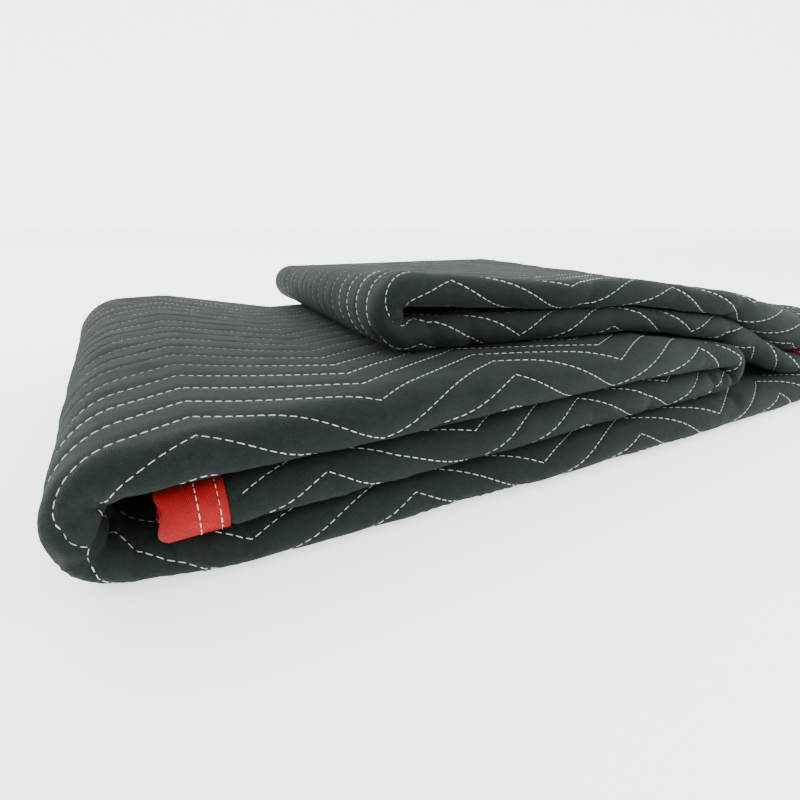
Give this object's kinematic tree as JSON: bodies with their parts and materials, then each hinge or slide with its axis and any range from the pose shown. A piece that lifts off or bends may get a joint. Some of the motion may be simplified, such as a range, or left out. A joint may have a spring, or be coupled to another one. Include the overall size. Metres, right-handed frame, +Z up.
{
  "type": "moving pad",
  "caption": "Black quilted moving pad with zigzag stitching and red edge binding, folded lengthwise and then back and forth into a loose bundle.",
  "frame": {"origin": "centre of the folded bundle's bounding box, at the height of the surface it rests on", "axes": "+X along the folded strip, from its round left turn to its outer right turn; +Y from the smooth ridge at the front to the bound edges at the back; +Z up"},
  "size_m": [0.553, 0.373, 0.106],
  "materials": {
    "pad": "matt black quilted cloth with a fine weave",
    "binding": "red woven binding tape"
  },
  "bodies": {
    "root": {"pad": "pad", "binding_end_a": "binding", "binding_end_b": "binding", "binding_side_a": "binding", "binding_side_b": "binding"}
  },
  "joints": []
}
